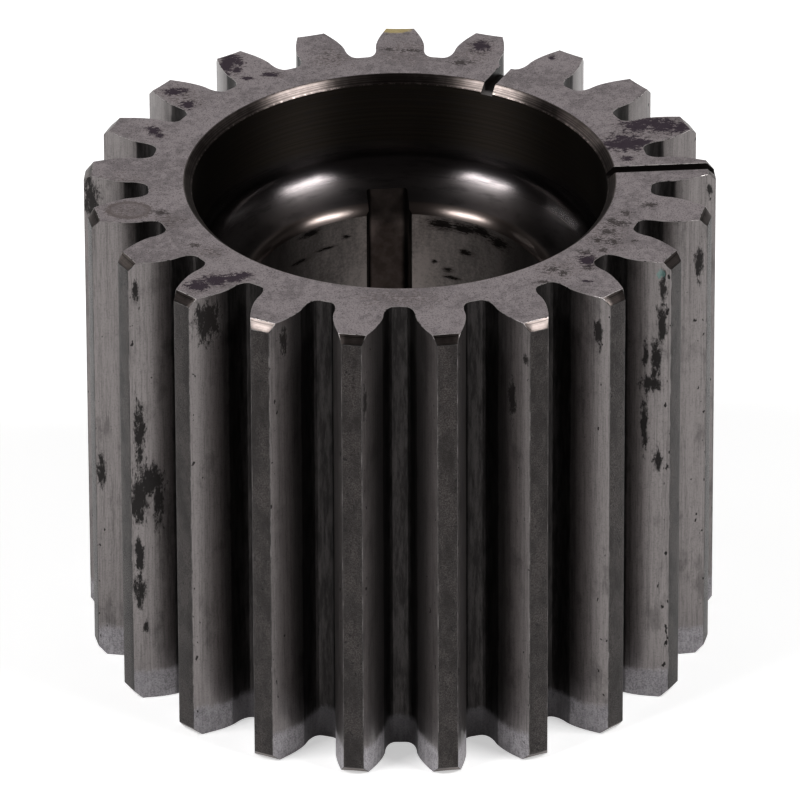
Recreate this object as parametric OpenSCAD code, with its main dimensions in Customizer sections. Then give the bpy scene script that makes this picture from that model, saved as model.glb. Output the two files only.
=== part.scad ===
// Spur pinion gear with a stepped bore and a keyway.
// The axis of rotation is Z, the lower face lies on z = 0 and one tooth is centred on +Y.
// All lengths are in millimetres and all angles in degrees.

/* [Teeth] */
// Number of teeth
tooth_count = 21; // [20:1:40]
// Module: the pitch diameter divided by the number of teeth
tooth_module = 4; // [3.9:0.1:8]
// Pressure angle of the involute flanks, in degrees
pressure_angle = 20; // [18:0.5:24]
// Height of the teeth above the pitch circle, in modules
addendum_ratio = 1; // [0.8:0.01:1.1]
// Depth of the tooth gaps below the pitch circle, in modules
dedendum_ratio = 1.355; // [1.15:0.005:1.4]
// Thickness of a tooth along the pitch circle, in modules
thickness_ratio = 1.595; // [1.5:0.005:1.62]
// Corner radius of the hob that cuts the gaps, in modules
hob_tip_ratio = 0.11; // [0.05:0.01:0.2]
// Width of the gear along its axis
face_width = 73.5; // [30:0.5:120]
// Bevel on the tooth tips at both faces
tip_chamfer = 1.2; // [0.2:0.05:3]

/* [Bore] */
// Diameter of the lower bore, which fits the shaft
shaft_bore_d = 43; // [20:0.1:50]
// Diameter of the wide upper bore
counterbore_d = 60.4; // [59:0.1:62]
// Depth of the shoulder below the upper face
shoulder_depth = 16.9; // [10:0.1:25]
// Radius in the corner between the wide bore and the shoulder
shoulder_fillet = 6; // [1:0.1:6.5]
// Radius that eases the inner edge of the shoulder
edge_round = 2; // [0.2:0.1:2]
// Angle at which the finished bore cuts off that radius, in degrees
edge_trim_angle = 20; // [0:1:45]
// Bevel at the mouth of the wide bore
rim_chamfer = 1.15; // [0.1:0.05:2]
// Bevel at the lower end of the shaft bore
lower_chamfer = 1; // [0.1:0.05:2]

/* [Keyway] */
// Width of the keyway
key_w = 6; // [3:0.1:12]
// Distance from the axis to the bottom of the keyway
key_reach = 26.2; // [25.5:0.1:28]
// Direction of the keyway, measured from the tooth on +Y, in degrees
key_angle = 4.4; // [-8:0.1:8]
// Radius in the bottom corners of the keyway
key_fillet = 0.5; // [0.1:0.05:1]
// Bevel on the two edges where the keyway opens into the bore
key_edge = 0.35; // [0.05:0.05:0.8]

/* [Slots in the upper face] */
// Number of narrow radial slots
slot_count = 2; // [1:1:3]
// Width of a slot
slot_w = 1.8; // [0.5:0.1:3]
// Depth of a slot below the upper face
slot_depth = 1.5; // [0.2:0.1:3]
// Direction of the first slot, measured from +X, in degrees
slot_angle = 4.3; // [0:0.1:17]
// Angle from one slot to the next, in degrees
slot_step = 60; // [10:1:90]
// Distance of a slot's middle from the line through the axis
slot_offset = 0.4; // [-2:0.1:2]

/* [Hidden] */
$fn = 96;
// Steps along each rounded gap corner and along each involute flank
corner_steps = 7;
flank_steps = 9;
// How far each cutter reaches past the surface that it cuts
over = 1;

addendum = addendum_ratio * tooth_module;
dedendum = dedendum_ratio * tooth_module;
hob_tip_r = hob_tip_ratio * tooth_module;
tooth_thickness = thickness_ratio * tooth_module;
pitch_r = tooth_count * tooth_module / 2;
tip_r = pitch_r + addendum;
base_r = pitch_r * cos(pressure_angle);
pitch_step = 360 / tooth_count;
shaft_bore_r = shaft_bore_d / 2;
counterbore_r = counterbore_d / 2;
shoulder_z = face_width - shoulder_depth;
// Where the eased inner edge of the shoulder begins
edge_start_r = shaft_bore_r + edge_round * cos(edge_trim_angle);

// The tooth gap is generated as a hob cuts it. The hob's corner is a small circle,
// this far below the pitch circle and this far from the middle of the gap.
hob_depth = dedendum - hob_tip_r;
hob_half = (PI * tooth_module - tooth_thickness) / 2
    - hob_depth * tan(pressure_angle) - hob_tip_r / cos(pressure_angle);
// Travel of the hob from the bottom of the gap to the start of the involute
hob_end = hob_depth / tan(pressure_angle) - hob_half;

// The involute of an angle, in degrees
function inv(a) = tan(a) * 180 / PI - a;

// A point turned about the axis by angle a
function turned(p, a) = [p[0] * cos(a) - p[1] * sin(a), p[0] * sin(a) + p[1] * cos(a)];

// Point of the rounded gap corner that the hob leaves after rolling by u
function corner_point(u) =
    let (centre = [hob_half + u, -hob_depth], reach = 1 + hob_tip_r / norm(centre))
    turned([0, pitch_r] + centre * reach, u / pitch_r * 180 / PI);

// Angle from the middle of the gap to the involute flank at radius r
function flank_angle(r) =
    pitch_step / 2 - tooth_thickness / pitch_r * 90 / PI
    - inv(pressure_angle) + inv(acos(base_r / r));

// Point of the flank at radius r, with the gap's middle on +Y
function flank_point(r) = [r * sin(flank_angle(r)), r * cos(flank_angle(r))];

corner_side = [for (i = [0:corner_steps])
    corner_point(-hob_half + (hob_end + hob_half) * i / corner_steps)];
flank_start_r = norm(corner_side[corner_steps]);
flank_side = [for (i = [1:flank_steps])
    flank_point(flank_start_r + (tip_r + over - flank_start_r) * i / flank_steps)];
gap_side = concat(corner_side, flank_side);

// Outline of one tooth gap, open towards +Y
module gap_outline() {
    last = len(gap_side) - 1;
    mirrored = [for (i = [last:-1:0]) [-gap_side[i][0], gap_side[i][1]]];
    polygon(concat(gap_side, mirrored));
}

// Solid blank with bevelled rims
module blank() {
    rotate_extrude()
        polygon([
            [0, 0],
            [tip_r - tip_chamfer, 0],
            [tip_r, tip_chamfer],
            [tip_r, face_width - tip_chamfer],
            [tip_r - tip_chamfer, face_width],
            [0, face_width]
        ]);
}

// All the gaps between the teeth
module tooth_gaps() {
    for (i = [0:tooth_count - 1])
        rotate(pitch_step * (i + 0.5))
            translate([0, 0, -over])
                linear_extrude(height = face_width + 2 * over)
                    gap_outline();
}

// Half section of the wide bore with its filleted corner
module counterbore_section() {
    difference() {
        translate([0, shoulder_z])
            square([counterbore_r, shoulder_depth + over]);
        translate([counterbore_r - shoulder_fillet, shoulder_z])
            difference() {
                square(shoulder_fillet);
                translate([0, shoulder_fillet])
                    circle(shoulder_fillet);
            }
    }
}

// Half section of the shaft bore with the eased edge at the shoulder
module shaft_bore_section() {
    translate([0, -over])
        square([shaft_bore_r, shoulder_z + 2 * over]);
    difference() {
        translate([0, shoulder_z - edge_round])
            square([edge_start_r, edge_round + over]);
        translate([edge_start_r, shoulder_z - edge_round])
            circle(edge_round);
    }
}

// Half section of a bevel of size c that opens a hole of radius r at height z
module mouth_section(r, z, c, dir) {
    polygon([
        [0, z - dir * c],
        [r, z - dir * c],
        [r + c + over, z + dir * over],
        [0, z + dir * over]
    ]);
}

// Everything that is turned out of the middle
module stepped_bore() {
    rotate_extrude() {
        counterbore_section();
        shaft_bore_section();
        mouth_section(counterbore_r, face_width, rim_chamfer, 1);
        mouth_section(shaft_bore_r, 0, lower_chamfer, -1);
    }
}

// Keyway outline, cut towards +Y
module key_outline() {
    corner_y = sqrt(pow(shaft_bore_r, 2) - pow(key_w / 2, 2));
    translate([-key_w / 2, 0])
        square([key_w, key_reach - key_fillet]);
    translate([key_fillet - key_w / 2, 0])
        square([key_w - 2 * key_fillet, key_reach]);
    for (side = [-1, 1]) {
        translate([side * (key_w / 2 - key_fillet), key_reach - key_fillet])
            circle(key_fillet);
        translate([side * key_w / 2, corner_y])
            rotate(45)
                square(key_edge * sqrt(2), center = true);
    }
}

// Keyway along the whole bore
module keyway() {
    rotate(key_angle)
        translate([0, 0, -over])
            linear_extrude(height = face_width + 2 * over)
                key_outline();
}

// Narrow slots sawn from the bore outwards
module slots() {
    for (i = [0:slot_count - 1])
        rotate(slot_angle + slot_step * i)
            translate([shaft_bore_r, slot_offset - slot_w / 2, face_width - slot_depth])
                cube([tip_r + over - shaft_bore_r, slot_w, slot_depth + over]);
}

module pinion_gear() {
    color([0.63, 0.61, 0.61])
        difference() {
            blank();
            tooth_gaps();
            stepped_bore();
            keyway();
            slots();
        }
}

pinion_gear();
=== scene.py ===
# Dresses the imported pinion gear: a finely finished gear, worn steel, a pale floor and a camera.
import math

import bmesh
import bpy
from bpy.props import FloatProperty, FloatVectorProperty, IntProperty, PointerProperty
from mathutils import Matrix, Vector


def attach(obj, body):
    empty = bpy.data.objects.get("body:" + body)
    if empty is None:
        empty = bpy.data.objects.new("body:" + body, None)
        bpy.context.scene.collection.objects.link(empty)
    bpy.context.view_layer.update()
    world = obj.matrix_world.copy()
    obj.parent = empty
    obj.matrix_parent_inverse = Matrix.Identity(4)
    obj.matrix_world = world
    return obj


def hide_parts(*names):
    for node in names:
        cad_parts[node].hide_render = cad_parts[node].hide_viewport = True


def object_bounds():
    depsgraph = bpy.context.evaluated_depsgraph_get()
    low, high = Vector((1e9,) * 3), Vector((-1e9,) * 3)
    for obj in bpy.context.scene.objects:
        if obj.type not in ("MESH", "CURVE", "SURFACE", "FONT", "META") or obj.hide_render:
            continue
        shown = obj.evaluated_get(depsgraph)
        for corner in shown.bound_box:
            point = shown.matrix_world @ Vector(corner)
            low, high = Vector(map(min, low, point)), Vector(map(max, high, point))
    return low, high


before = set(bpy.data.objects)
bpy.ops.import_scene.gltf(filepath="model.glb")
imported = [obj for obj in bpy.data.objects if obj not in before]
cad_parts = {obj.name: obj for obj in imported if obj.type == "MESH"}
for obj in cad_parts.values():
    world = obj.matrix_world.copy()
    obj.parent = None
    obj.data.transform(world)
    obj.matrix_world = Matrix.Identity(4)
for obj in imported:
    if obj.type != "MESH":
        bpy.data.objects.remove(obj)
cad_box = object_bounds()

bl_info = {
    "name": "Pinion Gear",
    "version": (1, 0, 0),
    "blender": (4, 5, 0),
    "location": "View3D > Sidebar > Pinion Gear",
    "description": "Builds a spur pinion gear with a stepped bore, a keyway and worn steel finishes",
    "category": "Object",
}

MM = 0.001
NODE = "pinion_gear"
BODY = "root"
FACE_WIDTH = cad_box[1].z - cad_box[0].z
ORIGIN = Vector((0, 0, 0))
X_AXIS = Vector((1, 0, 0))
Y_AXIS = Vector((0, 1, 0))
Z_AXIS = Vector((0, 0, 1))
# How far a cutter reaches past the surface that it cuts, and the distance at which vertices merge
OVER = 1 * MM
TOUCHING = 1e-7
# Steps in a whole turn of the bore, and in each rounding of its section
BORE_STEPS = 256
FILLET_STEPS = 28
EDGE_STEPS = 12
# Steps in a rounded gap corner, in a flank and in half a tooth's tip
CORNER_STEPS = 7
FLANK_STEPS = 9
TIP_STEPS = 2
# Power by which a flank's steps widen towards the tip, so that the tip's bevel fits in the last one
FLANK_WIDENING = 1.6
# Steps in the keyway's bottom corners and in a broken edge
KEY_STEPS = 6
BREAK_STEPS = 2
# Edges that turn by more than the first angle are broken, and by more than the second look sharp
BREAK_ANGLE = math.radians(25)
SHARP_ANGLE = math.radians(16)
# Slope of the fine break where the wide bore's bevel meets the upper face, at half the bevel's turn
BREAK_SLOPE = math.tan(math.radians(67.5))
# Where the keyway's outline starts, as a share of the bore's radius there
KEY_START = 0.9
# A face is level when its normal rises by more than the first value and upright below the second.
# On a tooth's tip, its normal points outwards by more than the third.
LEVEL_RISE = 0.99
UPRIGHT_RISE = 0.1
OUTWARD_SHARE = 0.6

# Where one look of the steel fades into another, from the first place to the second. Radii,
# heights above the lower face and distances across the keyway are in millimetres.
# In the wide bore, the fillet fades into the wall and the shoulder, and the shoulder into its lip.
WALL_HEIGHTS = (60, 63.5)
SHOULDER_HEIGHTS = (60, 57)
LIP_RADII = (23.3, 22.7)
# The bevel at the mouth of that bore is nicked along its inner edge.
RIM_RADII = (30.42, 30.3)
# The flanks grow lighter outwards, as painted shade that falls towards the roots of the gaps.
# They are used above their roots, pitted near the tips and unworn in a band at their lower ends,
# a band that is also lightened as a painted reflection of the floor.
ROOT_SHADE_RADII = (39.5, 43.5)
USED_RADII = (39.9, 40.35)
PITTED_RADII = (43.5, 45.5)
BAND_HEIGHTS = (3.8, 5.2)
# The keyway carries painted shade towards the shoulder and along both its walls.
KEYWAY_HEIGHTS = (49, 53.5)
KEYWAY_LEFT_WALL = (-2.15, -2.6)
KEYWAY_RIGHT_WALL = (1.95, 2.75)
# The slots are painted black as shade; only the slot at the back is painted lit at its mouth, so
# that painted light also fades along Y.
SLOT_MOUTH_RADII = (30.9, 31.7)
BRIGHT_SLOT_PLACES = (15, 8)
# Broken edges are bright at the upper face.
UPPER_EDGE_HEIGHTS = (72.8, 73.3)
# Painted shade darkens both sides of the bores: squares of the distance from the plane through
# the axis and +Y, and how far a noise moves them
LIP_SIDE_SHADE = (110, 330)
SHAFT_SIDE_SHADE = (70, 330)
SIDE_SHADE_SPREAD = 60

# Height of the upper face and the depth that its stains reach, in millimetres
FACE_HEIGHT = round(FACE_WIDTH / MM, 3)
FACE_REACH = 3
# Stains on the upper face, each as its middle and its half sizes along X and Y, in millimetres
FACE_STAINS = (
    (34.5, 15.5, 2.6, 2.2), (38.5, 15.5, 3.0, 2.4), (36.5, 16.5, 4.5, 1.8), (41, 15, 1.8, 1.8),
    (33, 10.5, 3.2, 3.0), (31.5, 10, 2.6, 1.6), (35, 10.5, 2.2, 1.6), (33, 6, 1.1, 0.8),
    (-25, 35, 2.0, 2.4), (-25.5, 34, 1.3, 3.2), (-24, 32.5, 0.8, 1.2), (-33, 26, 2.2, 1.2),
    (-31, 22, 1.3, 1.4), (-36, 14.5, 1.1, 1.4), (-35, 13, 0.9, 0.7), (-19, 31, 1.6, 0.9),
    (-22.5, 30, 1.0, 0.7), (12, 39.5, 1.7, 1.9), (22.5, 36, 0.7, 0.7), (-29, -30.5, 2.0, 1.8),
    (-26.5, -29, 2.4, 1.8), (-24, -28.5, 2.2, 1.5), (-22.5, -27.5, 1.6, 1.0),
    (27, -23.5, 1.3, 1.8), (27, -29.5, 1.0, 0.4),
)
# Smaller brown spots, areas with fine specks, and areas of brown bloom
FACE_SPOTS = (
    (32.8, -10, 1.2, 1.0), (31.8, -12.9, 2.2, 1.2), (30.6, -12.2, 1.0, 1.4),
    (29.9, -15.3, 1.4, 1.4), (28.6, -17.7, 1.0, 1.0), (30.8, -18.2, 1.4, 1.4),
    (29.3, -20.6, 0.9, 1.0), (26.7, -21.3, 1.2, 0.9), (27.6, -23.7, 1.8, 1.7),
    (27.2, -25.3, 1.5, 1.4), (33.9, -18, 0.8, 0.6), (23.5, -27.2, 0.9, 1.4),
    (36.2, -7.6, 1.8, 1.0), (20.8, -29.8, 1.7, 0.8), (22, -26, 1.4, 0.9), (-34.5, -9.5, 1.5, 1.2),
    (-29.5, -19, 1.2, 0.9), (9, 34.5, 2.2, 1.0), (-1.8, 38.6, 1.2, 0.7), (1.6, 38.2, 2.1, 0.6),
)
FACE_SPECKS = (
    (31.5, -12, 3.2, 3.0), (29.5, -17, 3.2, 2.6), (26.5, -22, 2.6, 3.2), (22, -26, 3.0, 2.2),
    (33, 12, 5.0, 6.0), (39, 15, 4.4, 3.6), (-11, 36.5, 3.4, 3.6), (10.5, 36.5, 3.6, 2.6),
    (-31.5, 23.5, 2.4, 3.4), (-35.5, 13.5, 1.8, 2.2), (-33, -12.5, 2.8, 2.4),
    (-27, -21, 2.2, 1.6),
)
FACE_TARNISH = (
    (-39.5, -9, 4.0, 3.4), (-33, -12, 3.5, 3.0), (-27, -21, 3.0, 2.6), (11, 37, 3.6, 4.0),
    (-10, 35.5, 4.2, 3.4), (30, -16, 4.0, 6.5), (23, -26, 4.5, 3.5), (-32, 24, 4.0, 4.5),
    (0, -34, 9, 4), (1, 38, 5, 5), (-40, -2, 5, 5),
)
# A trace of yellow paint and the ring of a dried drop
YELLOW_TRACE = (-0.7, 44.7, 3.2, 1.6)
DRIED_RING = (-39.2, -8.8, 3.6, 2.7)
# Stains on the flanks and in the shaft bore, and a trace of green paint on a flank, each as its
# middle and its half sizes along X, Y and Z
FLANK_STAINS = (
    ((-27.5, -33.5, 69.5), (2.6, 2.6, 4.4)), ((-16.5, -40.5, 70), (0.9, 0.9, 3.0)),
    ((-38, -24, 69), (0.6, 1, 2.4)), ((-37.7, -24, 45), (0.9, 1, 6.5)),
    ((-36.5, -24, 37), (2.8, 1, 3.6)), ((-38, -24, 33.5), (1.6, 1, 5.0)),
    ((-35, -24, 34), (1.0, 1, 6.0)), ((-38, -24, 24), (0.9, 1, 4.0)),
    ((-38, -24, 18.5), (0.9, 1, 4.2)), ((-43.7, -12, 31.5), (0.8, 1, 3.6)),
    ((-5, -45, 62.5), (0.5, 0.8, 3.6)), ((-45, 1, 69.5), (1.6, 2, 4.4)),
    ((38, -24, 69.5), (0.7, 1, 3.0)), ((37.8, -24, 63), (0.9, 1, 5.0)),
    ((37.0, -24, 57), (0.9, 1, 5.0)), ((36.2, -24, 53.2), (2.2, 1, 1.6)),
    ((35.4, -24, 58), (0.5, 1, 3.0)), ((35.3, -24, 46), (0.7, 1, 5.6)),
    ((37.2, -24, 40.5), (0.8, 1, 2.6)), ((43.3, -12, 66.5), (0.7, 1, 3.6)),
    ((28.5, -34, 67.5), (0.8, 1, 2.6)), ((16, -40, 60.5), (1.0, 1, 4.0)),
    ((18, -41.5, 67.5), (0.6, 0.6, 1)), ((45, 1.5, 71), (0.5, 0.6, 1.4)),
    ((-37.2, -24, 12), (0.5, 0.8, 1.4)),
)
GREEN_TRACE = ((37.4, -24.2, 71.5), (0.8, 1, 1.1))
SHAFT_STAINS = (
    ((6, 20.5, 54), (2.6, 2, 1.0)), ((9.5, 19.5, 54), (2.6, 2, 0.9)),
    ((12, 18, 54.3), (2.4, 2, 0.9)), ((14.5, 16, 53.6), (2.2, 2.4, 1.0)),
    ((9.5, 19, 50), (1.1, 2, 0.5)), ((7, 20.5, 46.5), (0.8, 2, 0.5)),
    ((7.5, 20, 45.2), (1.3, 2, 0.35)), ((5, 21, 47.5), (0.5, 2, 0.35)),
    ((-8, 20, 52.3), (0.6, 2, 0.35)), ((-13.5, 17, 54.6), (2.6, 2, 0.5)),
    ((-11, 18.5, 51.2), (1.6, 2, 0.35)), ((-14.8, 15.5, 50.6), (1.6, 2, 0.35)),
)

# Width of the camera's sensor, in millimetres
SENSOR_WIDTH = 36
# Directions from the middle of the upper face to the lamps
LEFT_SOFTBOX = (-0.575, -0.287, 0.766)
RIGHT_SOFTBOX = (0.602, -0.225, 0.766)
LEFT_STRIP = (-0.794, 0.42, 0.44)
RIGHT_STRIP = (0.812, 0.288, 0.507)
BACK_PANEL = (0, 0.86, 0.52)


def length(name, description, default):
    return FloatProperty(name=name, description=description, default=default, min=0,
                         precision=5, unit="LENGTH")


def angle(name, description, degrees):
    return FloatProperty(name=name, description=description, default=math.radians(degrees),
                         subtype="ANGLE")


def colour(name, description, default):
    return FloatVectorProperty(name=name, description=description, default=default,
                               min=0, max=1, subtype="COLOR")


def power(name, description, default):
    return FloatProperty(name=name, description=description, default=default, min=0,
                         unit="POWER")


class GearSizes(bpy.types.PropertyGroup):
    """Sizes of the gear"""

    tooth_count: IntProperty(name="Teeth", description="Number of teeth", default=21, min=12)
    tooth_module: length("Module", "Pitch diameter divided by the number of teeth", 4 * MM)
    pressure_angle: angle("Pressure Angle", "Pressure angle of the involute flanks", 20)
    addendum: length("Addendum", "Height of the teeth above the pitch circle", 4 * MM)
    dedendum: length("Dedendum", "Depth of the gaps below the pitch circle", 5.42 * MM)
    tooth_thickness: length("Tooth Thickness", "Tooth thickness on the pitch circle", 6.38 * MM)
    hob_tip_r: length("Hob Corner", "Corner radius of the hob that cuts the gaps", 0.44 * MM)
    face_width: length("Face Width", "Width of the gear along its axis", FACE_WIDTH)
    tip_chamfer: length("Tip Bevel", "Bevel on the tooth tips at both faces", 1.2 * MM)
    edge_break: length("Edge Break", "Width of the fine bevel on sharp edges", 0.07 * MM)
    shaft_bore_r: length("Shaft Bore", "Radius of the lower bore", 21.5 * MM)
    counterbore_r: length("Wide Bore", "Radius of the upper bore", 30.2 * MM)
    shoulder_depth: length("Shoulder Depth", "Shoulder below the upper face", 16.9 * MM)
    shoulder_fillet: length("Shoulder Fillet", "Radius in the corner of the wide bore", 6 * MM)
    edge_round: length("Shoulder Edge", "Radius on the shoulder's inner edge", 2 * MM)
    edge_trim: angle("Edge Trim", "Angle at which the bore cuts off that radius", 20)
    rim_chamfer: length("Rim Bevel", "Bevel at the mouth of the wide bore", 1.15 * MM)
    lower_chamfer: length("Lower Bevel", "Bevel at the lower end of the shaft bore", 1 * MM)
    key_w: length("Keyway Width", "Width of the keyway", 6 * MM)
    key_reach: length("Keyway Reach", "From the axis to the keyway's bottom", 26.2 * MM)
    key_angle: angle("Keyway Angle", "Direction of the keyway from the tooth on +Y", 4.4)
    key_fillet: length("Keyway Fillet", "Radius in the keyway's bottom corners", 0.5 * MM)
    key_edge: length("Keyway Edge", "Bevel where the keyway opens into the bore", 0.35 * MM)
    slot_count: IntProperty(name="Slots", description="Narrow slots in the face", default=2)
    slot_w: length("Slot Width", "Width of a slot", 1.8 * MM)
    slot_depth: length("Slot Depth", "Depth of a slot", 1.5 * MM)
    slot_angle: angle("Slot Angle", "Direction of the first slot from +X", 4.3)
    slot_step: angle("Slot Step", "Angle from one slot to the next", 60)
    slot_offset: length("Slot Offset", "Slot's middle from the line through the axis", 0.4 * MM)


class SteelColours(bpy.types.PropertyGroup):
    """Colours of the steel"""

    face: colour("Upper Face", "Ground steel of the two faces", (0.50, 0.44, 0.452))
    flank: colour("Flanks", "Hobbed and ground tooth flanks", (0.207, 0.189, 0.186))
    land: colour("Tooth Tips", "Dull tips of the teeth", (0.013, 0.0088, 0.0076))
    bevel: colour("Bevels", "Turned bevels", (0.205, 0.172, 0.160))
    bore: colour("Wide Bore", "Polished steel of the wide bore", (0.105, 0.096, 0.098))
    wall: colour("Bore Wall", "Turned wall of the wide bore", (0.036, 0.030, 0.0245))
    shaft: colour("Shaft Bore", "Satin steel of the shaft bore", (0.70, 0.64, 0.615))
    edge: colour("Worn Edges", "Worn edges of the teeth", (0.30, 0.28, 0.275))
    lip: colour("Shoulder Edge", "Rounded inner edge of the shoulder", (0.21, 0.174, 0.160))
    band: colour("Unworn Band", "Flanks below the worn length", (0.50, 0.475, 0.50))
    keyway: colour("Keyway", "Broached steel of the keyway", (0.39, 0.312, 0.283))
    stain: colour("Face Stains", "Burnt oil on the faces", (0.021, 0.0105, 0.021))
    tarnish: colour("Tarnish", "Brown bloom on the faces", (0.17, 0.135, 0.125))
    yellow: colour("Yellow Trace", "Trace of paint on a tooth", (0.42, 0.32, 0.08))
    green: colour("Green Trace", "Trace of paint on a flank", (0.13, 0.25, 0.23))
    # Also the colour of the painted shade at the bores' sides, in the keyway and in the slots.
    soot_and_shade: colour("Flank Stains", "Black stains on flanks and bore", (0.006, 0.004, 0.0035))


class StudioSettings(bpy.types.PropertyGroup):
    """Camera, lamps and floor"""

    camera_distance: length("Camera Distance", "From the camera to its target", 2.01848)
    camera_lens: FloatProperty(name="Lens", description="Focal length in millimetres",
                               default=619.83, unit="CAMERA")
    camera_elevation: angle("Elevation", "Camera above the horizon", 30.742)
    camera_azimuth: angle("Azimuth", "Camera round the axis from the front", 0.17)
    camera_roll: angle("Roll", "Turn of the camera about its own view", -0.2085)
    target_x: FloatProperty(name="Target Across", description="Target beside the axis",
                            default=-0.079 * MM, unit="LENGTH", precision=5)
    target_height: length("Target Height", "Target above the floor", 36.224 * MM)
    floor_colour: colour("Floor", "Colour of the floor", (0.94, 0.94, 0.94))
    floor_lift: colour("Floor Lift", "Light that the floor adds to its own picture",
                       (0.5, 0.5, 0.5))
    floor_size: length("Floor Size", "Side of the square floor", 24)
    floor_drop: length("Floor Drop", "Floor below the lower face", 0.02 * MM)
    lamp_distance: length("Lamp Distance", "From the gear to each softbox", 1.2)
    lamp_width: length("Lamp Width", "Width of each softbox", 0.47)
    lamp_height: length("Lamp Height", "Height of each softbox", 0.27)
    lamp_power: power("Lamp Power", "Power of each softbox", 8.2)
    strip_distance: length("Strip Distance", "From the gear to each thin side lamp", 1.5)
    strip_width: length("Strip Width", "Short side of each thin side lamp", 0.01)
    left_strip_length: length("Left Strip Length", "Long side of the left thin lamp", 0.75)
    left_strip_turn: angle("Left Strip Turn", "Turn about its own direction", 48)
    left_strip_power: power("Left Strip Power", "Power of the left thin lamp", 0.8)
    right_strip_length: length("Right Strip Length", "Long side of the right thin lamp", 0.6)
    right_strip_turn: angle("Right Strip Turn", "Turn about its own direction", -61)
    right_strip_power: power("Right Strip Power", "Power of the right thin lamp", 0.096)
    panel_distance: length("Panel Distance", "From the gear to the panel behind it", 1.6)
    panel_width: length("Panel Width", "Width of the panel behind the gear", 1.6)
    panel_height: length("Panel Height", "Height of the panel behind the gear", 1.2)
    panel_power: power("Panel Power", "Power of the panel behind the gear", 2.6)
    world_colour: colour("Surroundings", "Colour of the room", (0.034, 0.031, 0.030))


# Mesh helpers

def line_to(bm, end, place):
    """Draws a straight edge from the vertex end to place and returns the new vertex."""
    new = bm.verts.new(place)
    bm.edges.new((end, new))
    return new


def arc_from(bm, end, centre, axis, turn, steps):
    """Draws an arc from the vertex end about a centre and returns its last vertex."""
    made = bmesh.ops.spin(bm, geom=[end], cent=centre, axis=axis, angle=turn, steps=steps)
    return next(part for part in made["geom_last"] if isinstance(part, bmesh.types.BMVert))


def radius(place):
    """Distance of a place from the gear's axis."""
    return math.hypot(place.x, place.y)


def turn_all(bm, turn):
    """Turns the whole mesh about the gear's axis."""
    bmesh.ops.rotate(bm, verts=bm.verts, cent=ORIGIN, matrix=Matrix.Rotation(turn, 3, "Z"))


def spin_all(bm, steps, **options):
    """Sweeps or copies an outline once round the gear's axis."""
    bmesh.ops.spin(bm, geom=bm.verts[:] + bm.edges[:], cent=ORIGIN, axis=Z_AXIS,
                   angle=2 * math.pi, steps=steps, **options)


def bevel(bm, edges, offset, steps=1, material=-1):
    """Bevels edges. A material of -1 keeps the one beside the bevel."""
    bmesh.ops.bevel(bm, geom=edges, offset=offset, offset_type="OFFSET", segments=steps,
                    profile=0.5, affect="EDGES", material=material, clamp_overlap=False)


def close_up(bm):
    """Merges vertices that touch and turns every face outwards."""
    bmesh.ops.remove_doubles(bm, verts=bm.verts, dist=TOUCHING)
    bmesh.ops.recalc_face_normals(bm, faces=bm.faces)


def extrude_all(bm, travel):
    """Extrudes every face of an open outline along travel into a closed solid."""
    made = bmesh.ops.extrude_face_region(bm, geom=bm.faces[:])
    moved = [part for part in made["geom"] if isinstance(part, bmesh.types.BMVert)]
    bmesh.ops.translate(bm, verts=moved, vec=travel)


def mesh_object(name, bm, materials):
    """Turns a bmesh into an object with the given materials, and frees the bmesh."""
    mesh = bpy.data.meshes.new(name)
    bm.to_mesh(mesh)
    bm.free()
    for material in materials:
        mesh.materials.append(material)
    made = bpy.data.objects.new(name, mesh)
    bpy.context.scene.collection.objects.link(made)
    return made


def set_finish(faces, finish):
    """Gives faces one of the gear's finishes, by its name."""
    for face in faces:
        face.material_index = FINISHES.index(finish)


def cut_away(body, cutters):
    """Cuts each cutter out of the body, keeps the result as its mesh and removes the cutters."""
    for cutter in cutters:
        cut = body.modifiers.new(cutter.name, "BOOLEAN")
        cut.operation = "DIFFERENCE"
        cut.solver = "EXACT"
        cut.object = cutter
    shown = body.evaluated_get(bpy.context.evaluated_depsgraph_get())
    result = bpy.data.meshes.new_from_object(shown)
    plain_mesh = body.data
    body.modifiers.clear()
    body.data = result
    bpy.data.meshes.remove(plain_mesh)
    for cutter in cutters:
        bpy.data.meshes.remove(cutter.data)


# Tooth form

def involute(a):
    """The involute of an angle, in radians."""
    return math.tan(a) - a


def pitch_radius(sizes):
    """Radius of the pitch circle."""
    return sizes.tooth_count * sizes.tooth_module / 2


def tip_radius(sizes):
    """Radius of the circle through the tooth tips."""
    return pitch_radius(sizes) + sizes.addendum


def corner_point(sizes, hob_half, travel):
    """Point of the rounded gap corner that the hob leaves after rolling by travel."""
    pitch_r = pitch_radius(sizes)
    centre = Vector((hob_half + travel, sizes.hob_tip_r - sizes.dedendum, 0))
    reach = 1 + sizes.hob_tip_r / centre.length
    return Matrix.Rotation(travel / pitch_r, 3, "Z") @ (Y_AXIS * pitch_r + centre * reach)


def flank_angle(sizes, r):
    """Angle from the middle of a gap to the involute flank at radius r."""
    pitch_r = pitch_radius(sizes)
    base_r = pitch_r * math.cos(sizes.pressure_angle)
    return (math.pi / sizes.tooth_count - sizes.tooth_thickness / (2 * pitch_r)
            - involute(sizes.pressure_angle) + involute(math.acos(base_r / r)))


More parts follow.
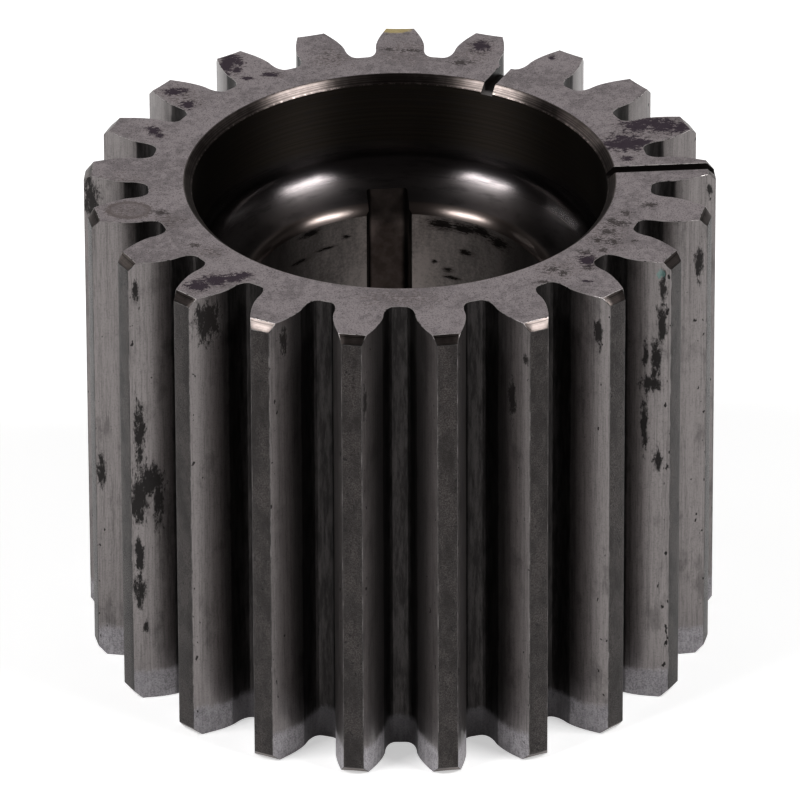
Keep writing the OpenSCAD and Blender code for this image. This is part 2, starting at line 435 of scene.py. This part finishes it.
def gap_side(sizes):
    """Points of half a gap, from its bottom to the tooth's tip, with the gap on +Y."""
    tip_r = tip_radius(sizes)
    hob_depth = sizes.dedendum - sizes.hob_tip_r
    hob_half = ((math.pi * sizes.tooth_module - sizes.tooth_thickness) / 2
                - hob_depth * math.tan(sizes.pressure_angle)
                - sizes.hob_tip_r / math.cos(sizes.pressure_angle))
    hob_end = hob_depth / math.tan(sizes.pressure_angle) - hob_half
    corner = [corner_point(sizes, hob_half, -hob_half + (hob_end + hob_half) * i / CORNER_STEPS)
              for i in range(CORNER_STEPS + 1)]
    start_r = radius(corner[-1])
    flank = []
    for i in range(1, FLANK_STEPS + 1):
        share = (i / FLANK_STEPS) ** FLANK_WIDENING
        r = start_r + (tip_r - start_r) * share
        turn = flank_angle(sizes, r)
        flank.append(Vector((r * math.sin(turn), r * math.cos(turn), 0)))
    return corner + flank


def toothed_body(sizes, materials):
    """The toothed blank, without its bores."""
    bm = bmesh.new()
    side = gap_side(sizes)
    pitch = 2 * math.pi / sizes.tooth_count
    end = bm.verts.new((0, side[0].y, 0))
    for place in side:
        end = line_to(bm, end, place)
    tip_r = radius(side[-1])
    tip_turn = flank_angle(sizes, tip_r) - pitch / 2
    arc_from(bm, end, ORIGIN, Z_AXIS, tip_turn, TIP_STEPS)
    bmesh.ops.mirror(bm, geom=bm.verts[:] + bm.edges[:], axis="X", merge_dist=TOUCHING)
    turn_all(bm, pitch / 2)
    spin_all(bm, sizes.tooth_count, use_duplicate=True)
    bmesh.ops.remove_doubles(bm, verts=bm.verts, dist=TOUCHING)
    bmesh.ops.contextual_create(bm, geom=bm.edges[:])
    extrude_all(bm, Z_AXIS * sizes.face_width)
    close_up(bm)
    tips = [edge for edge in bm.edges
            if abs(edge.verts[0].co.z - edge.verts[1].co.z) < TOUCHING
            and min(radius(v.co) for v in edge.verts) > tip_r - TOUCHING * 10]
    bevel(bm, tips, sizes.tip_chamfer)
    for face in bm.faces:
        place = face.calc_center_median()
        outward = Vector((place.x, place.y, 0)).normalized() if radius(place) > TOUCHING else Z_AXIS
        rise = abs(face.normal.z)
        at_tip = radius(place) > tip_r - sizes.tip_chamfer
        if rise > LEVEL_RISE:
            set_finish([face], "faced_steel")
        elif at_tip and face.normal.dot(outward) > OUTWARD_SHARE:
            set_finish([face], "land_steel" if rise < UPRIGHT_RISE else "bevel_steel")
        else:
            set_finish([face], "flank_steel")
    sharp = [edge for edge in bm.edges if edge.calc_face_angle(0) > BREAK_ANGLE]
    bevel(bm, sharp, sizes.edge_break, BREAK_STEPS, FINISHES.index("edge_steel"))
    return mesh_object("gear_body", bm, materials)


def bore_cutter(sizes, materials):
    """Everything that is turned out of the middle."""
    bm = bmesh.new()
    shoulder_z = sizes.face_width - sizes.shoulder_depth
    edge_r = sizes.shaft_bore_r + sizes.edge_round * math.cos(sizes.edge_trim)
    edge_z = shoulder_z - sizes.edge_round
    rim_r = sizes.counterbore_r + sizes.rim_chamfer
    fine = sizes.edge_break
    end = bm.verts.new((0, 0, -OVER))
    for r, z in ((sizes.shaft_bore_r + sizes.lower_chamfer + OVER, -OVER),
                 (sizes.shaft_bore_r, sizes.lower_chamfer),
                 (sizes.shaft_bore_r, edge_z + sizes.edge_round * math.sin(sizes.edge_trim))):
        end = line_to(bm, end, (r, 0, z))
    end = arc_from(bm, end, (edge_r, 0, edge_z), Y_AXIS, math.pi / 2 - sizes.edge_trim, EDGE_STEPS)
    fillet_r = sizes.counterbore_r - sizes.shoulder_fillet
    end = line_to(bm, end, (fillet_r, 0, shoulder_z))
    end = arc_from(bm, end, (fillet_r, 0, shoulder_z + sizes.shoulder_fillet), Y_AXIS,
                   -math.pi / 2, FILLET_STEPS)
    for r, z in ((sizes.counterbore_r, sizes.face_width - sizes.rim_chamfer),
                 (rim_r - fine, sizes.face_width - fine),
                 (rim_r - fine + (fine + OVER) * BREAK_SLOPE, sizes.face_width + OVER),
                 (0, sizes.face_width + OVER)):
        end = line_to(bm, end, (r, 0, z))
    spin_all(bm, BORE_STEPS, use_merge=True)
    close_up(bm)
    for face in bm.faces:
        z = face.calc_center_median().z
        if z < sizes.lower_chamfer or z > sizes.face_width - sizes.rim_chamfer:
            set_finish([face], "bevel_steel")
        else:
            set_finish([face], "shaft_steel" if z < edge_z else "bored_steel")
    return mesh_object("bore_cutter", bm, materials)


def keyway_cutter(sizes, materials):
    """The keyway, with its rounded bottom corners and bevelled mouth."""
    bm = bmesh.new()
    half = sizes.key_w / 2
    mouth = math.sqrt(sizes.shaft_bore_r ** 2 - half ** 2)
    start = KEY_START * mouth
    outline = ((half + sizes.key_edge, start), (half + sizes.key_edge, mouth),
               (half, mouth + sizes.key_edge), (half, sizes.key_reach),
               (-half, sizes.key_reach), (-half, mouth + sizes.key_edge),
               (-half - sizes.key_edge, mouth), (-half - sizes.key_edge, start))
    bm.faces.new([bm.verts.new((x, y, -OVER)) for x, y in outline])
    extrude_all(bm, Z_AXIS * (sizes.face_width + 2 * OVER))
    close_up(bm)
    corners = [edge for edge in bm.edges
               if all(v.co.y > sizes.key_reach - TOUCHING for v in edge.verts)
               and abs(edge.verts[0].co.x - edge.verts[1].co.x) < TOUCHING]
    bevel(bm, corners, sizes.key_fillet, KEY_STEPS)
    turn_all(bm, sizes.key_angle)
    set_finish(bm.faces, "keyway_steel")
    return mesh_object("keyway_cutter", bm, materials)


def slot_cutter(sizes, number, materials):
    """One narrow slot, sawn from the bore outwards, with broken upper edges."""
    bm = bmesh.new()
    half = sizes.slot_w / 2
    top = sizes.face_width
    fine = sizes.edge_break
    outline = ((half, top - sizes.slot_depth), (half, top - fine),
               (half + fine + OVER, top + OVER), (-half - fine - OVER, top + OVER),
               (-half, top - fine), (-half, top - sizes.slot_depth))
    bm.faces.new([bm.verts.new((sizes.shaft_bore_r, sizes.slot_offset + y, z))
                  for y, z in outline])
    extrude_all(bm, X_AXIS * (tip_radius(sizes) + OVER - sizes.shaft_bore_r))
    close_up(bm)
    turn_all(bm, sizes.slot_angle + sizes.slot_step * number)
    set_finish(bm.faces, "slot_steel")
    # The slanted faces break the slot's upper edges.
    set_finish([face for face in bm.faces if face.calc_center_median().z > top], "edge_steel")
    return mesh_object(f"slot_cutter_{number}", bm, materials)


# Shader helpers

class Reading:
    """A number, colour or vector in a material, on which sums can be written."""

    def __init__(self, finish, socket):
        self.finish = finish
        self.socket = socket

    def _sum(self, operation, *terms):
        return self.finish.node("ShaderNodeMath", {"operation": operation},
                                dict(enumerate(terms)))

    def __add__(self, other):
        return self._sum("ADD", self, other)

    def __radd__(self, other):
        return self._sum("ADD", other, self)

    def __sub__(self, other):
        return self._sum("SUBTRACT", self, other)

    def __rsub__(self, other):
        return self._sum("SUBTRACT", other, self)

    def __mul__(self, other):
        return self._sum("MULTIPLY", self, other)

    def __pow__(self, other):
        return self._sum("POWER", self, other)

    def most(self, other):
        """The greater of two numbers."""
        return self._sum("MAXIMUM", self, other)


class Finish:
    """A material that is built node by node. Its places are in millimetres."""

    def __init__(self, name):
        self.material = bpy.data.materials.new(name)
        self.material.use_nodes = True
        self.tree = self.material.node_tree
        self.shader = self.tree.nodes["Principled BSDF"]
        self.place = self.node("ShaderNodeVectorMath", {"operation": "SCALE"},
                               {0: self.node("ShaderNodeTexCoord", {}, {}, "Object"),
                                "Scale": 1 / MM})

    def feed(self, socket, value):
        """Links a socket to a reading, or gives it a plain value."""
        if isinstance(value, Reading):
            self.tree.links.new(value.socket, socket)
        else:
            socket.default_value = value

    def node(self, kind, settings, values, output=0):
        """Adds a node with its settings and inputs, and returns one of its outputs."""
        made = self.tree.nodes.new(kind)
        for name, value in settings.items():
            setattr(made, name, value)
        for name, value in values.items():
            self.feed(made.inputs[name], value)
        return Reading(self, made.outputs[output])

    def set(self, **values):
        """Feeds the shader's sockets, which are named with underscores for spaces."""
        for name, value in values.items():
            self.feed(self.shader.inputs[name.replace("_", " ")], value)

    def vector(self, operation, *terms, output="Vector"):
        """A sum on vectors, which gives a vector or a value."""
        return self.node("ShaderNodeVectorMath", {"operation": operation},
                         dict(enumerate(terms)), output)

    def axis(self, letter):
        """The place along one axis."""
        return self.node("ShaderNodeSeparateXYZ", {}, {0: self.place}, letter)

    def radius(self):
        """Distance from the gear's axis."""
        return self.vector("LENGTH", self.stretched(1, 1, 0), output="Value")

    def stretched(self, x, y, z):
        """The place times three factors. A small factor draws a noise out along its axis."""
        return self.vector("MULTIPLY", self.place, (x, y, z))

    def ramp(self, value, low, high):
        """0 below low, 1 above high and a smooth rise between them. Low may be the higher."""
        return self.node("ShaderNodeMapRange", {"interpolation_type": "SMOOTHSTEP"},
                         {"Value": value, "From Min": low, "From Max": high})

    def noise(self, vector, scale, detail, roughness=0.55):
        """Noise from 0 to 1 in space. Its scale is in waves for each millimetre."""
        return self.node("ShaderNodeTexNoise", {}, {
            "Vector": vector, "Scale": scale, "Detail": detail, "Roughness": roughness})

    def rings(self, value, scale, detail, roughness):
        """Noise along one number, such as turning marks along a radius."""
        return self.node("ShaderNodeTexNoise", {"noise_dimensions": "1D"}, {
            "W": value, "Scale": scale, "Detail": detail, "Roughness": roughness})

    def mixed(self, share, first, second):
        """A colour between two colours."""
        return self.node("ShaderNodeMix", {"data_type": "RGBA"}, {
            0: share, 6: rgba(first), 7: rgba(second)}, 2)

    def bump(self, height, strength, depth):
        """A surface normal from a height. Depth is in metres."""
        return self.node("ShaderNodeBump", {}, {
            "Height": height, "Strength": strength, "Distance": depth}, "Normal")

    def blot(self, centre, reach):
        """1 in the middle of a stain and 0 at its border, for a stain of three half sizes."""
        share = self.vector("DIVIDE", self.vector("SUBTRACT", self.place, centre), reach)
        return 1 - self.vector("LENGTH", share, output="Value")

    def stains(self, blots, noise, spread):
        """Above 0 where stains lie, with borders that a noise makes ragged."""
        inside = self.blot(*blots[0])
        for centre, reach in blots[1:]:
            inside = inside.most(self.blot(centre, reach))
        return varied(inside, noise, spread)


def rgba(value):
    """A colour socket's value, for a colour of three numbers or a reading."""
    return value if isinstance(value, Reading) else (*value, 1)


def scaled(colour, share):
    """A colour made darker or lighter."""
    return [share * part for part in colour]


def on_face(spots):
    """Stains on the upper face, from their middles and half sizes along X and Y."""
    return [((x, y, FACE_HEIGHT), (half_x, half_y, FACE_REACH)) for x, y, half_x, half_y in spots]


def varied(value, noise, spread):
    """A number that a noise moves up and down by a spread."""
    return value + (noise - 0.5) * spread


def faced_steel(colours):
    """Ground face: satin with fine mottling, brown bloom and burnt stains."""
    steel = Finish("faced_steel")
    cloudy = steel.noise(steel.place, scale=0.13, detail=4)
    mottle = steel.noise(steel.place, scale=0.8, detail=5, roughness=0.7)
    ragged = steel.noise(steel.stretched(0.8, 1.3, 1), scale=2, detail=5, roughness=0.8)
    grain = steel.noise(steel.place, scale=4.5, detail=3, roughness=0.8)
    blotch = steel.noise(steel.stretched(0.8, 1.3, 1), scale=1.1, detail=5, roughness=0.8)
    tone = steel.mixed(steel.ramp(cloudy * 0.4 + mottle * 0.6, 0.4, 0.56),
                       scaled(colours.face, 0.66), colours.face)
    tone = steel.mixed(steel.ramp(grain, 0.52, 0.32) * 0.9, tone, scaled(colours.face, 0.2))
    bloom = steel.ramp(steel.stains(on_face(FACE_TARNISH), mottle, spread=3.4), 0, 0.8)
    tone = steel.mixed(bloom * steel.ramp(ragged, 0.45, 0.6) * 0.8, tone, colours.tarnish)
    ring = steel.stains(on_face([DRIED_RING]), ragged, spread=1.1)
    dried = steel.ramp(ring, 0, 0.1) * steel.ramp(ring, 0.4, 0.2) + steel.ramp(ring, 0, 0.6) * 0.4
    tone = steel.mixed(dried * 0.7, tone, colours.tarnish)
    speckled = steel.ramp(steel.stains(on_face(FACE_SPECKS), mottle, spread=2), 0, 0.5)
    speckled = speckled * steel.ramp(blotch, 0.54, 0.58) * 0.7
    spots = steel.ramp(steel.stains(on_face(FACE_SPOTS), ragged, spread=5), 0.3, 0.5)
    speckled = speckled.most(spots)
    level = steel.stains(on_face(FACE_STAINS), ragged * 0.45 + blotch * 0.55, spread=5.6)
    tone = steel.mixed(steel.ramp(level, -0.4, 0.3) * 0.35, tone, colours.tarnish)
    stained = steel.ramp(level, 0.1, 0.3).most(steel.ramp(ragged, 0.735, 0.76) * 0.7)
    tone = steel.mixed(speckled * 0.85, tone, scaled(colours.tarnish, 0.35))
    tone = steel.mixed(stained * 0.96, tone, colours.stain)
    yellow = steel.stains(on_face([YELLOW_TRACE]), ragged, spread=1.2)
    painted = steel.ramp(yellow, 0.1, 0.4) * 0.75
    tone = steel.mixed(painted, tone, colours.yellow)
    steel.set(Base_Color=tone, Metallic=0.92 - stained * 0.6 - painted, Specular_IOR_Level=0.25,
              Roughness=varied(0.4, grain, 0.3) + stained * 0.1,
              Normal=steel.bump(grain * 0.5 + mottle, 0.4, 0.04 * MM))
    return steel.material


def flank_steel(colours):
    """Tooth flanks: fine lines along the tooth, dark roots, stains, painted shade towards the roots
    and an unworn end that a painted floor reflection lightens.
    """
    steel = Finish("flank_steel")
    out = steel.radius()
    lines = steel.noise(steel.stretched(1, 1, 0.015), scale=2.2, detail=4, roughness=0.7)
    hair = steel.noise(steel.stretched(1, 1, 0.06), scale=6, detail=3, roughness=0.7)
    cloudy = steel.noise(steel.stretched(1, 1, 0.5), scale=0.22, detail=5, roughness=0.65)
    grain = steel.noise(steel.place, scale=4, detail=3, roughness=0.8)
    ragged = steel.noise(steel.stretched(1, 1, 0.4), scale=1.5, detail=6, roughness=0.8)
    pits = steel.noise(steel.stretched(1, 1, 0.6), scale=1.1, detail=2, roughness=0.5)
    used = steel.ramp(varied(out, cloudy, 0.8), *USED_RADII)
    # Painted shade: the flank darkens towards the roots of the gaps.
    tone = steel.mixed(steel.ramp(out, *ROOT_SHADE_RADII), scaled(colours.flank, 0.7), colours.flank)
    crust = steel.noise(steel.stretched(1, 1, 0.15), scale=1.3, detail=5, roughness=0.75)
    root = steel.mixed(steel.ramp(crust, 0.38, 0.62), scaled(colours.flank, 0.08),
                       scaled(colours.flank, 0.22))
    tone = steel.mixed(used, root, tone)
    height = varied(varied(steel.axis("Z"), cloudy, 3), ragged, 2)
    worn = steel.ramp(height, *BAND_HEIGHTS)
    # The unworn band is pale: partly its own matte finish, partly a painted reflection of the white
    # floor.
    band_and_floor_sheen = steel.mixed(steel.ramp(grain * 0.5 + ragged * 0.5, 0.4, 0.58),
                         scaled(colours.band, 0.55), colours.band)
    band = steel.mixed(used * 0.75 + 0.25, scaled(colours.band, 0.2), band_and_floor_sheen)
    tone = steel.mixed(worn, band, tone)
    streaks = steel.ramp(lines * 0.5 + hair * 0.5, 0.58, 0.34) * 0.42
    blotches = steel.ramp(cloudy, 0.48, 0.3) * 0.4
    specks = steel.ramp(grain, 0.52, 0.32) * 0.3
    for share in (streaks, blotches, specks):
        tone = steel.mixed(share * (0.5 + worn * 0.5), tone, scaled(colours.flank, 0.08))
    level = steel.stains(FLANK_STAINS, ragged, spread=3.6)
    edge_pits = steel.ramp(pits + steel.ramp(out, *PITTED_RADII) * 0.09, 0.76, 0.79)
    stained = steel.ramp(level, 0, 0.5).most(edge_pits)
    tone = steel.mixed(stained * 0.97, tone, colours.soot_and_shade)
    painted = steel.ramp(steel.stains([GREEN_TRACE], ragged, spread=3.6), 0.2, 0.6) * 0.6
    tone = steel.mixed(painted, tone, colours.green)
    rough = varied(0.36, hair, 0.3) + (1 - worn) * 0.2 + stained * 0.15 + (1 - used) * 0.15
    metal = 0.92 - stained * 0.85 - painted * 0.6 - (1 - worn) * 0.72
    relief = lines + hair * 0.6 + grain * 0.3 + crust * (1 - used) * 3
    steel.set(Base_Color=tone, Metallic=metal, Specular_IOR_Level=0.2, Roughness=rough,
              Normal=steel.bump(relief, 0.3, 0.02 * MM))
    return steel.material


def land_steel(colours):
    """Tooth tips: dull and speckled under a film of old oil."""
    steel = Finish("land_steel")
    grain = steel.noise(steel.place, scale=5, detail=3, roughness=0.8)
    patch = steel.noise(steel.stretched(1, 1, 0.5), scale=0.35, detail=4, roughness=0.65)
    dots = steel.noise(steel.place, scale=1.6, detail=2, roughness=0.5)
    tone = steel.mixed(steel.ramp(patch, 0.42, 0.62), colours.land, scaled(colours.land, 1.6))
    bare = steel.ramp(grain, 0.4, 0.64) * steel.ramp(patch, 0.3, 0.6) * 0.22
    tone = steel.mixed(bare, tone, colours.edge)
    tone = steel.mixed(steel.ramp(dots, 0.64, 0.7), tone, colours.soot_and_shade)
    steel.set(Base_Color=tone, Metallic=0.06 + bare * 0.7, Specular_IOR_Level=0.21,
              Roughness=varied(0.38, grain, 0.4), Normal=steel.bump(grain, 1, 0.14 * MM))
    return steel.material


def bevel_steel(colours):
    """Turned bevels: fine rings, which spread a highlight across the bevel."""
    steel = Finish("bevel_steel")
    out = steel.radius()
    rings = steel.rings(out, scale=5, detail=3, roughness=0.7)
    dull = steel.noise(steel.place, scale=0.5, detail=4, roughness=0.6)
    tone = steel.mixed(steel.ramp(dull, 0.35, 0.65), scaled(colours.bevel, 0.6), colours.bevel)
    tone = steel.mixed(steel.ramp(rings, 0.53, 0.43) * 0.75, tone, scaled(colours.bevel, 0.25))
    nicks = steel.noise(steel.place, scale=1.2, detail=4, roughness=0.75)
    nicked = steel.ramp(out, *RIM_RADII) * steel.ramp(nicks, 0.5, 0.6)
    tone = steel.mixed(nicked, tone, scaled(colours.bevel, 1.6))
    steel.set(Base_Color=tone, Metallic=1.0, Roughness=varied(0.32, dull, 0.08),
              Anisotropic=0.9, Anisotropic_Rotation=0.25,
              Normal=steel.bump(rings, 0.4, 0.02 * MM))
    return steel.material


def bored_steel(colours):
    """Wide bore: a dark turned wall, a polished fillet and shoulder, and a bright inner edge."""
    steel = Finish("bored_steel")
    z = steel.axis("Z")
    rings = steel.rings(z, scale=2.5, detail=4, roughness=0.7)
    wall = steel.ramp(z, *WALL_HEIGHTS)
    flat = steel.ramp(z, *SHOULDER_HEIGHTS)
    lip = steel.ramp(steel.radius(), *LIP_RADII)
    smears = steel.noise(steel.stretched(0.25, 0.25, 2), scale=1, detail=4, roughness=0.6)
    streaked = steel.mixed(steel.ramp(rings, 0.4, 0.6), scaled(colours.wall, 0.88),
                           scaled(colours.wall, 1.1))
    tone = steel.mixed(wall, colours.bore, streaked)
    tone = steel.mixed(flat * 0.12, tone, colours.lip)
    tone = steel.mixed(steel.ramp(smears, 0.48, 0.72) * 0.5, tone, scaled(colours.bore, 0.3))
    # Painted shade darkens the lip at both sides of the bore.
    side_shade = steel.ramp(varied(steel.axis("X") ** 2, smears, SIDE_SHADE_SPREAD), *LIP_SIDE_SHADE)
    tone = steel.mixed(lip, tone, steel.mixed(side_shade * 0.55, colours.lip, colours.soot_and_shade))
    rough = varied(0.14 + wall * 0.3 + flat * 0.19 - lip * 0.05, rings, 0.04)
    steel.set(Base_Color=tone, Metallic=1.0, Roughness=rough, Anisotropic=0.86,
              Anisotropic_Rotation=0.25, Normal=steel.bump(rings, 0.08, 0.01 * MM))
    return steel.material


def shaft_steel(colours):
    """Shaft bore: satin grey with slanted black smears, and painted shade on both sides."""
    steel = Finish("shaft_steel")
    fine = steel.noise(steel.place, scale=2.5, detail=4, roughness=0.75)
    cloudy = steel.noise(steel.stretched(1, 1, 0.3), scale=0.25, detail=5, roughness=0.65)
    tone = steel.mixed(steel.ramp(cloudy * 0.6 + fine * 0.4, 0.38, 0.6),
                       scaled(colours.shaft, 0.5), colours.shaft)
    ragged = steel.noise(steel.stretched(0.5, 0.5, 2.2), scale=1.8, detail=6, roughness=0.8)
    level = steel.stains(SHAFT_STAINS, ragged, spread=3.4)
    tone = steel.mixed(steel.ramp(level, -0.6, 0.2) * 0.4, tone, colours.tarnish)
    tone = steel.mixed(steel.ramp(level, 0, 0.5) * 0.9, tone, colours.soot_and_shade)
    # Painted shade darkens the shaft bore at both sides.
    side_shade = steel.ramp(varied(steel.axis("X") ** 2, cloudy, SIDE_SHADE_SPREAD), *SHAFT_SIDE_SHADE)
    tone = steel.mixed(side_shade * 0.87, tone, colours.soot_and_shade)
    steel.set(Base_Color=tone, Metallic=0.95, Roughness=varied(0.42, fine, 0.25),
              Normal=steel.bump(fine, 0.2, 0.01 * MM))
    return steel.material


def keyway_steel(colours):
    """Keyway: broached lengthwise, brown at its bottom, with painted shade towards the shoulder and
    on both walls.
    """
    steel = Finish("keyway_steel")
    lines = steel.noise(steel.stretched(1, 1, 0.03), scale=3, detail=3, roughness=0.7)
    mottle = steel.noise(steel.place, scale=0.6, detail=4, roughness=0.6)
    tone = steel.mixed(steel.ramp(mottle, 0.35, 0.65), scaled(colours.keyway, 0.65),
                       colours.keyway)
    turn = bpy.context.scene.pinion_sizes.key_angle
    across = steel.vector("DOT_PRODUCT", steel.place, (math.cos(turn), math.sin(turn), 0),
                          output="Value")
    # Painted shade, darkest towards the shoulder.
    shade = steel.ramp(steel.axis("Z"), *KEYWAY_HEIGHTS)
    tone = steel.mixed(shade * 0.9, tone, colours.soot_and_shade)
    # Painted shade along both walls of the keyway.
    painted_wall_shade = steel.ramp(across, *KEYWAY_LEFT_WALL).most(steel.ramp(across, *KEYWAY_RIGHT_WALL))
    tone = steel.mixed(painted_wall_shade * 0.97, tone, scaled(colours.soot_and_shade, 0.25))
    steel.set(Base_Color=tone, Metallic=0.35 - painted_wall_shade * 0.3, Specular_IOR_Level=0.08,
              Roughness=varied(0.5, lines, 0.3), Normal=steel.bump(lines, 0.3, 0.02 * MM))
    return steel.material


def slot_steel(colours):
    """Slots: painted black as shade, and painted lit where the one at the back opens into the bore.
    """
    steel = Finish("slot_steel")
    grain = steel.noise(steel.place, scale=2, detail=4, roughness=0.7)
    # Painted shade inside the slot, left out at the mouth of the slot at the back, which is painted
    # lit.
    painted_slot_shade = steel.ramp(varied(steel.radius(), grain, 0.8), *SLOT_MOUTH_RADII)
    painted_slot_shade = painted_slot_shade.most(steel.ramp(steel.axis("Y"), *BRIGHT_SLOT_PLACES))
    tone = steel.mixed(painted_slot_shade, colours.edge, colours.soot_and_shade)
    steel.set(Base_Color=tone, Metallic=0.9 - painted_slot_shade * 0.6, Roughness=varied(0.45, grain, 0.2),
              Normal=steel.bump(grain, 0.3, 0.02 * MM))
    return steel.material


def edge_steel(colours):
    """Broken edges: worn in places."""
    steel = Finish("edge_steel")
    wear = steel.noise(steel.place, scale=0.4, detail=5, roughness=0.7)
    nicks = steel.noise(steel.place, scale=1.5, detail=3, roughness=0.7)
    tone = steel.mixed(steel.ramp(wear, 0.45, 0.7), scaled(colours.edge, 0.15),
                       scaled(colours.edge, 0.6))
    upper = steel.ramp(steel.axis("Z"), *UPPER_EDGE_HEIGHTS) * steel.ramp(nicks, 0.35, 0.5)
    tone = steel.mixed(upper * 0.8, tone, scaled(colours.edge, 2.3))
    steel.set(Base_Color=tone, Metallic=0.9, Roughness=varied(0.4, wear, 0.2))
    return steel.material


# The finishes, in the order of the material slots that all the gear's meshes share
MAKERS = (faced_steel, flank_steel, land_steel, bevel_steel, bored_steel, shaft_steel,
          keyway_steel, slot_steel, edge_steel)
FINISHES = [maker.__name__ for maker in MAKERS]


class PINION_OT_gear(bpy.types.Operator):
    """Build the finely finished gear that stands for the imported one"""

    bl_idname = "pinion.gear"
    bl_label = "Build Gear"

    def execute(self, context):
        sizes = context.scene.pinion_sizes
        materials = [maker(context.scene.pinion_colours) for maker in MAKERS]
        gear = toothed_body(sizes, materials)
        gear.name = "dressed_gear"
        cutters = [bore_cutter(sizes, materials), keyway_cutter(sizes, materials)]
        cutters += [slot_cutter(sizes, i, materials) for i in range(sizes.slot_count)]
        cut_away(gear, cutters)
        mesh = gear.data
        mesh.shade_smooth()
        mesh.set_sharp_from_angle(angle=SHARP_ANGLE)
        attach(gear, BODY)
        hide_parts(NODE)
        return {"FINISHED"}


def softbox(name, direction, distance, width, height, energy, roll=0):
    """A rectangular lamp that faces the gear from a direction, turned about it by roll."""
    data = bpy.data.lights.new(name, "AREA")
    data.shape = "RECTANGLE"
    data.size = width
    data.size_y = height
    data.energy = energy
    lamp = bpy.data.objects.new(name, data)
    lamp.location = Vector(direction).normalized() * distance + Z_AXIS * FACE_WIDTH
    facing = Vector(direction).to_track_quat("Z", "Y").to_matrix()
    lamp.rotation_euler = (facing @ Matrix.Rotation(roll, 3, "Z")).to_euler()
    bpy.context.scene.collection.objects.link(lamp)


def add_camera(studio):
    """The camera, at the photograph's angle."""
    data = bpy.data.cameras.new("camera")
    data.sensor_fit = "HORIZONTAL"
    data.sensor_width = SENSOR_WIDTH
    data.lens = studio.camera_lens
    camera = bpy.data.objects.new("camera", data)
    bpy.context.scene.collection.objects.link(camera)
    tilt = Matrix.Rotation(math.pi / 2 - studio.camera_elevation, 4, "X")
    target = Matrix.Translation((studio.target_x, 0, studio.target_height))
    camera.matrix_world = (Matrix.Rotation(studio.camera_azimuth, 4, "Z") @ target @ tilt
                           @ Matrix.Translation((0, 0, studio.camera_distance))
                           @ Matrix.Rotation(studio.camera_roll, 4, "Z"))
    bpy.context.scene.camera = camera


class PINION_OT_stage(bpy.types.Operator):
    """Set up the floor, the lamps, the surroundings and the camera"""

    bl_idname = "pinion.stage"
    bl_label = "Set Up Studio"

    def execute(self, context):
        studio = context.scene.pinion_studio
        add_camera(studio)
        bm = bmesh.new()
        bmesh.ops.create_grid(bm, x_segments=1, y_segments=1, size=studio.floor_size / 2)
        paper = Finish("floor_paper")
        # The floor looks lighter to these rays, and lights the gear no more for it.
        seen = 0
        for ray in ("Is Camera Ray", "Is Glossy Ray", "Is Transmission Ray"):
            seen = seen + paper.node("ShaderNodeLightPath", {}, {}, ray)
        paper.set(Base_Color=(*studio.floor_colour, 1), Roughness=0.9, Emission_Strength=1.0,
                  Emission_Color=paper.mixed(seen, (0, 0, 0), studio.floor_lift))
        # The floor lies just below the gear, so that the two faces don't coincide.
        bmesh.ops.translate(bm, verts=bm.verts, vec=-Z_AXIS * studio.floor_drop)
        floor = mesh_object("floor", bm, [paper.material])
        for name, direction in (("left_softbox", LEFT_SOFTBOX), ("right_softbox", RIGHT_SOFTBOX)):
            softbox(name, direction, studio.lamp_distance,
                    studio.lamp_width, studio.lamp_height, studio.lamp_power)
        softbox("left_strip", LEFT_STRIP, studio.strip_distance, studio.left_strip_length,
                studio.strip_width, studio.left_strip_power, studio.left_strip_turn)
        softbox("right_strip", RIGHT_STRIP, studio.strip_distance, studio.right_strip_length,
                studio.strip_width, studio.right_strip_power, studio.right_strip_turn)
        softbox("back_panel", BACK_PANEL, studio.panel_distance,
                studio.panel_width, studio.panel_height, studio.panel_power)
        world = bpy.data.worlds.new("room")
        world.use_nodes = True
        room = world.node_tree.nodes["Background"]
        room.inputs["Color"].default_value = (*studio.world_colour, 1)
        context.scene.world = world
        context.scene.view_settings.view_transform = "Standard"
        return {"FINISHED"}


class PINION_PT_panel(bpy.types.Panel):
    """Sizes and colours of the pinion gear, with the buttons that build it"""

    bl_label = "Pinion Gear"
    bl_idname = "PINION_PT_panel"
    bl_space_type = "VIEW_3D"
    bl_region_type = "UI"
    bl_category = "Pinion Gear"

    def draw(self, context):
        layout = self.layout
        layout.operator(PINION_OT_gear.bl_idname)
        layout.operator(PINION_OT_stage.bl_idname)
        for group in (context.scene.pinion_sizes, context.scene.pinion_colours,
                      context.scene.pinion_studio):
            box = layout.box()
            for name in type(group).__annotations__:
                box.prop(group, name)


CLASSES = (GearSizes, SteelColours, StudioSettings, PINION_OT_gear, PINION_OT_stage,
           PINION_PT_panel)


def register():
    for cls in CLASSES:
        bpy.utils.register_class(cls)
    bpy.types.Scene.pinion_sizes = PointerProperty(type=GearSizes)
    bpy.types.Scene.pinion_colours = PointerProperty(type=SteelColours)
    bpy.types.Scene.pinion_studio = PointerProperty(type=StudioSettings)


def unregister():
    del bpy.types.Scene.pinion_studio
    del bpy.types.Scene.pinion_colours
    del bpy.types.Scene.pinion_sizes
    for cls in reversed(CLASSES):
        bpy.utils.unregister_class(cls)


def main():
    register()
    bpy.ops.pinion.gear()
    bpy.ops.pinion.stage()


if __name__ == "__main__":
    main()
